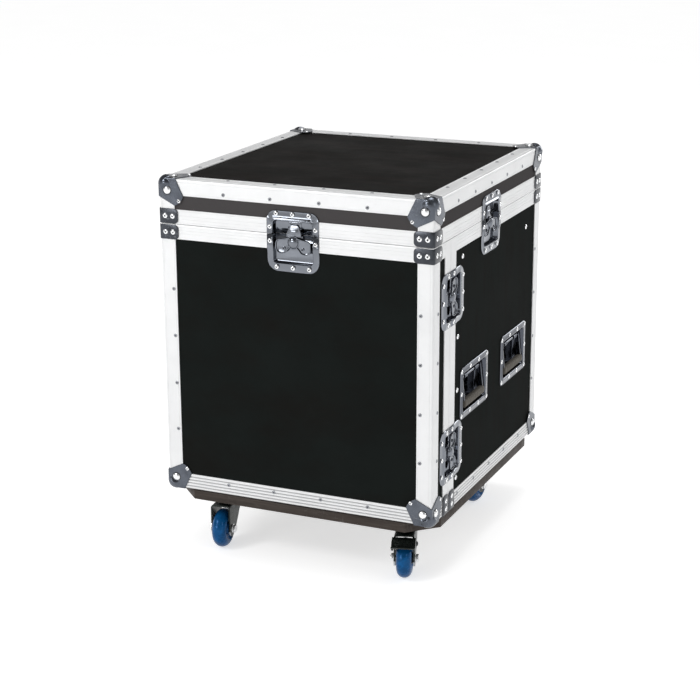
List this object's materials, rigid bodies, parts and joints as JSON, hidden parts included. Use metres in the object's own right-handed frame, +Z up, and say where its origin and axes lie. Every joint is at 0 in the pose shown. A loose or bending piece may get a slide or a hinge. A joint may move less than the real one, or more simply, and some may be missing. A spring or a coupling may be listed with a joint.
{
  "type": "combination rack case",
  "caption": "Wheeled flight case with a lift-off lid and a pull-off front cover over front and top rack rails.",
  "frame": {"origin": "centre of the bounding box, on the floor under the wheels", "axes": "+Z up; the front cover faces -Y; +X is the side on the right when the front cover is faced"},
  "size_m": [0.5446, 0.5962, 0.7286],
  "materials": {
    "black_laminate": "satin black laminate on plywood",
    "anodised_aluminium": "satin anodised",
    "nickelled_steel": "bright nickel",
    "zinc_plated_steel": "zinc plated",
    "black_steel": "black zinc",
    "stained_plywood": "plain stained",
    "blue_polyurethane": "gloss",
    "grip_rubber": "matt"
  },
  "bodies": {
    "root": {"body_edge_frame": "anodised_aluminium", "body_seam_frame": "anodised_aluminium", "bottom_panel": "black_laminate", "caster_board": "stained_plywood", "front_crossbar": "anodised_aluminium", "front_rail_left": "zinc_plated_steel", "front_rail_right": "zinc_plated_steel", "top_rail_left": "zinc_plated_steel", "top_rail_right": "zinc_plated_steel", "left_side_panel": "black_laminate", "right_side_panel": "black_laminate", "rear_panel": "black_laminate", "lid_latch_right_dish": "nickelled_steel", "lid_latch_rear_dish": "nickelled_steel", "lid_latch_left_dish": "nickelled_steel", "cover_latch_right_lower_dish": "nickelled_steel", "cover_latch_left_lower_dish": "nickelled_steel", "cover_latch_right_upper_dish": "nickelled_steel", "cover_latch_left_upper_dish": "nickelled_steel", "handle_right_front_dish": "nickelled_steel", "handle_left_front_dish": "nickelled_steel", "handle_right_rear_dish": "nickelled_steel", "handle_left_rear_dish": "nickelled_steel"},
    "lid": {"lid_shell": "black_laminate", "lid_edge_frame": "anodised_aluminium", "lid_seam_frame": "anodised_aluminium"},
    "cover": {"cover_shell": "black_laminate", "cover_edge_frame": "anodised_aluminium", "cover_seam_frame": "anodised_aluminium", "lid_latch_front_dish": "nickelled_steel"},
    "lid_latch_front_wing": {"lid_latch_front_wing": "nickelled_steel"},
    "lid_latch_front_claw": {"lid_latch_front_claw": "nickelled_steel"},
    "lid_latch_right_wing": {"lid_latch_right_wing": "nickelled_steel"},
    "lid_latch_right_claw": {"lid_latch_right_claw": "nickelled_steel"},
    "lid_latch_rear_wing": {"lid_latch_rear_wing": "nickelled_steel"},
    "lid_latch_rear_claw": {"lid_latch_rear_claw": "nickelled_steel"},
    "lid_latch_left_wing": {"lid_latch_left_wing": "nickelled_steel"},
    "lid_latch_left_claw": {"lid_latch_left_claw": "nickelled_steel"},
    "cover_latch_right_lower_wing": {"cover_latch_right_lower_wing": "nickelled_steel"},
    "cover_latch_right_lower_claw": {"cover_latch_right_lower_claw": "nickelled_steel"},
    "cover_latch_left_lower_wing": {"cover_latch_left_lower_wing": "nickelled_steel"},
    "cover_latch_left_lower_claw": {"cover_latch_left_lower_claw": "nickelled_steel"},
    "cover_latch_right_upper_wing": {"cover_latch_right_upper_wing": "nickelled_steel"},
    "cover_latch_right_upper_claw": {"cover_latch_right_upper_claw": "nickelled_steel"},
    "cover_latch_left_upper_wing": {"cover_latch_left_upper_wing": "nickelled_steel"},
    "cover_latch_left_upper_claw": {"cover_latch_left_upper_claw": "nickelled_steel"},
    "handle_right_front_bail": {"handle_right_front_bail": "grip_rubber"},
    "handle_left_front_bail": {"handle_left_front_bail": "grip_rubber"},
    "handle_right_rear_bail": {"handle_right_rear_bail": "grip_rubber"},
    "handle_left_rear_bail": {"handle_left_rear_bail": "grip_rubber"},
    "caster_front_left_fork": {"caster_front_left_fork": "black_steel"},
    "caster_front_left_wheel": {"caster_front_left_wheel": "blue_polyurethane"},
    "caster_front_right_fork": {"caster_front_right_fork": "black_steel"},
    "caster_front_right_wheel": {"caster_front_right_wheel": "blue_polyurethane"},
    "caster_front_right_pedal": {"caster_front_right_pedal": "black_steel"},
    "caster_rear_left_fork": {"caster_rear_left_fork": "black_steel"},
    "caster_rear_left_wheel": {"caster_rear_left_wheel": "blue_polyurethane"},
    "caster_rear_left_pedal": {"caster_rear_left_pedal": "black_steel"},
    "caster_rear_right_fork": {"caster_rear_right_fork": "black_steel"},
    "caster_rear_right_wheel": {"caster_rear_right_wheel": "blue_polyurethane"}
  },
  "joints": [
    {"name": "lid_lift", "type": "slide", "parent": "root", "child": "lid", "axis": [0, 0, 1], "range_m": [0, 0.25]},
    {"name": "cover_pull", "type": "slide", "parent": "root", "child": "cover", "axis": [0, -1, 0], "range_m": [0, 0.25]},
    {"name": "lid_latch_front_turn", "type": "hinge", "parent": "cover", "child": "lid_latch_front_wing", "pos_m": [0, -0.2925, 0.6256], "axis": [0, -1, 0], "range_deg": [0, 180]},
    {"name": "lid_latch_front_draw", "type": "slide", "parent": "cover", "child": "lid_latch_front_claw", "axis": [0, 0, 1], "range_m": [0, 0.006]},
    {"name": "lid_latch_right_turn", "type": "hinge", "parent": "root", "child": "lid_latch_right_wing", "pos_m": [0.2675, 0, 0.6256], "axis": [1, 0, 0], "range_deg": [0, 180]},
    {"name": "lid_latch_right_draw", "type": "slide", "parent": "root", "child": "lid_latch_right_claw", "axis": [0, 0, 1], "range_m": [0, 0.006]},
    {"name": "lid_latch_rear_turn", "type": "hinge", "parent": "root", "child": "lid_latch_rear_wing", "pos_m": [0, 0.2925, 0.6256], "axis": [0, 1, 0], "range_deg": [0, 180]},
    {"name": "lid_latch_rear_draw", "type": "slide", "parent": "root", "child": "lid_latch_rear_claw", "axis": [0, 0, 1], "range_m": [0, 0.006]},
    {"name": "lid_latch_left_turn", "type": "hinge", "parent": "root", "child": "lid_latch_left_wing", "pos_m": [-0.2675, 0, 0.6256], "axis": [-1, 0, 0], "range_deg": [0, 180]},
    {"name": "lid_latch_left_draw", "type": "slide", "parent": "root", "child": "lid_latch_left_claw", "axis": [0, 0, 1], "range_m": [0, 0.006]},
    {"name": "cover_latch_right_lower_turn", "type": "hinge", "parent": "root", "child": "cover_latch_right_lower_wing", "pos_m": [0.2675, -0.196, 0.2391], "axis": [1, 0, 0], "range_deg": [0, 180]},
    {"name": "cover_latch_right_lower_draw", "type": "slide", "parent": "root", "child": "cover_latch_right_lower_claw", "axis": [0, -1, 0], "range_m": [0, 0.006]},
    {"name": "cover_latch_left_lower_turn", "type": "hinge", "parent": "root", "child": "cover_latch_left_lower_wing", "pos_m": [-0.2675, -0.196, 0.2391], "axis": [-1, 0, 0], "range_deg": [0, 180]},
    {"name": "cover_latch_left_lower_draw", "type": "slide", "parent": "root", "child": "cover_latch_left_lower_claw", "axis": [0, -1, 0], "range_m": [0, 0.006]},
    {"name": "cover_latch_right_upper_turn", "type": "hinge", "parent": "root", "child": "cover_latch_right_upper_wing", "pos_m": [0.2675, -0.196, 0.5301], "axis": [1, 0, 0], "range_deg": [0, 180]},
    {"name": "cover_latch_right_upper_draw", "type": "slide", "parent": "root", "child": "cover_latch_right_upper_claw", "axis": [0, -1, 0], "range_m": [0, 0.006]},
    {"name": "cover_latch_left_upper_turn", "type": "hinge", "parent": "root", "child": "cover_latch_left_upper_wing", "pos_m": [-0.2675, -0.196, 0.5301], "axis": [-1, 0, 0], "range_deg": [0, 180]},
    {"name": "cover_latch_left_upper_draw", "type": "slide", "parent": "root", "child": "cover_latch_left_upper_claw", "axis": [0, -1, 0], "range_m": [0, 0.006]},
    {"name": "handle_right_front_swing", "type": "hinge", "parent": "root", "child": "handle_right_front_bail", "pos_m": [0.2577, -0.0775, 0.3586], "axis": [0, -1, 0], "range_deg": [0, 90], "stiffness_Nm_per_rad": 0.2, "springref_deg": -20.05},
    {"name": "handle_left_front_swing", "type": "hinge", "parent": "root", "child": "handle_left_front_bail", "pos_m": [-0.2577, -0.0775, 0.3586], "axis": [0, 1, 0], "range_deg": [0, 90], "stiffness_Nm_per_rad": 0.2, "springref_deg": -20.05},
    {"name": "handle_right_rear_swing", "type": "hinge", "parent": "root", "child": "handle_right_rear_bail", "pos_m": [0.2577, 0.146, 0.3586], "axis": [0, -1, 0], "range_deg": [0, 90], "stiffness_Nm_per_rad": 0.2, "springref_deg": -20.05},
    {"name": "handle_left_rear_swing", "type": "hinge", "parent": "root", "child": "handle_left_rear_bail", "pos_m": [-0.2577, 0.146, 0.3586], "axis": [0, 1, 0], "range_deg": [0, 90], "stiffness_Nm_per_rad": 0.2, "springref_deg": -20.05},
    {"name": "caster_front_left_swivel", "type": "hinge", "parent": "root", "child": "caster_front_left_fork", "pos_m": [-0.1855, -0.2075, 0.108], "axis": [0, 0, 1], "continuous": true},
    {"name": "caster_front_left_roll", "type": "hinge", "parent": "caster_front_left_fork", "child": "caster_front_left_wheel", "pos_m": [-0.18063, -0.24216, 0.0375], "axis": [0.9903, 0.1392, 0], "continuous": true},
    {"name": "caster_front_right_swivel", "type": "hinge", "parent": "root", "child": "caster_front_right_fork", "pos_m": [0.1855, -0.2075, 0.108], "axis": [0, 0, 1], "continuous": true},
    {"name": "caster_front_right_roll", "type": "hinge", "parent": "caster_front_right_fork", "child": "caster_front_right_wheel", "pos_m": [0.19573, -0.24097, 0.0375], "axis": [0.9563, 0.2924, 0], "continuous": true},
    {"name": "caster_front_right_brake", "type": "hinge", "parent": "caster_front_right_fork", "child": "caster_front_right_pedal", "pos_m": [0.1972, -0.24575, 0.068], "axis": [0.9563, 0.2924, 0], "range_deg": [0, 12]},
    {"name": "caster_rear_left_swivel", "type": "hinge", "parent": "root", "child": "caster_rear_left_fork", "pos_m": [-0.1855, 0.2075, 0.108], "axis": [0, 0, 1], "continuous": true},
    {"name": "caster_rear_left_roll", "type": "hinge", "parent": "caster_rear_left_fork", "child": "caster_rear_left_wheel", "pos_m": [-0.18367, 0.17255, 0.0375], "axis": [0.9986, 0.0523, 0], "continuous": true},
    {"name": "caster_rear_left_brake", "type": "hinge", "parent": "caster_rear_left_fork", "child": "caster_rear_left_pedal", "pos_m": [-0.18341, 0.16756, 0.068], "axis": [0.9986, 0.0523, 0], "range_deg": [0, 12]},
    {"name": "caster_rear_right_swivel", "type": "hinge", "parent": "root", "child": "caster_rear_right_fork", "pos_m": [0.1855, 0.2075, 0.108], "axis": [0, 0, 1], "continuous": true},
    {"name": "caster_rear_right_roll", "type": "hinge", "parent": "caster_rear_right_fork", "child": "caster_rear_right_wheel", "pos_m": [0.18184, 0.17269, 0.0375], "axis": [0.9945, -0.1045, 0], "continuous": true}
  ],
  "couplings": [
    {"joint": "lid_latch_front_draw", "follows": "lid_latch_front_turn", "m_per_rad": 0.0019},
    {"joint": "lid_latch_right_draw", "follows": "lid_latch_right_turn", "m_per_rad": 0.0019},
    {"joint": "lid_latch_rear_draw", "follows": "lid_latch_rear_turn", "m_per_rad": 0.0019},
    {"joint": "lid_latch_left_draw", "follows": "lid_latch_left_turn", "m_per_rad": 0.0019},
    {"joint": "cover_latch_right_lower_draw", "follows": "cover_latch_right_lower_turn", "m_per_rad": 0.0019},
    {"joint": "cover_latch_left_lower_draw", "follows": "cover_latch_left_lower_turn", "m_per_rad": 0.0019},
    {"joint": "cover_latch_right_upper_draw", "follows": "cover_latch_right_upper_turn", "m_per_rad": 0.0019},
    {"joint": "cover_latch_left_upper_draw", "follows": "cover_latch_left_upper_turn", "m_per_rad": 0.0019}
  ]
}
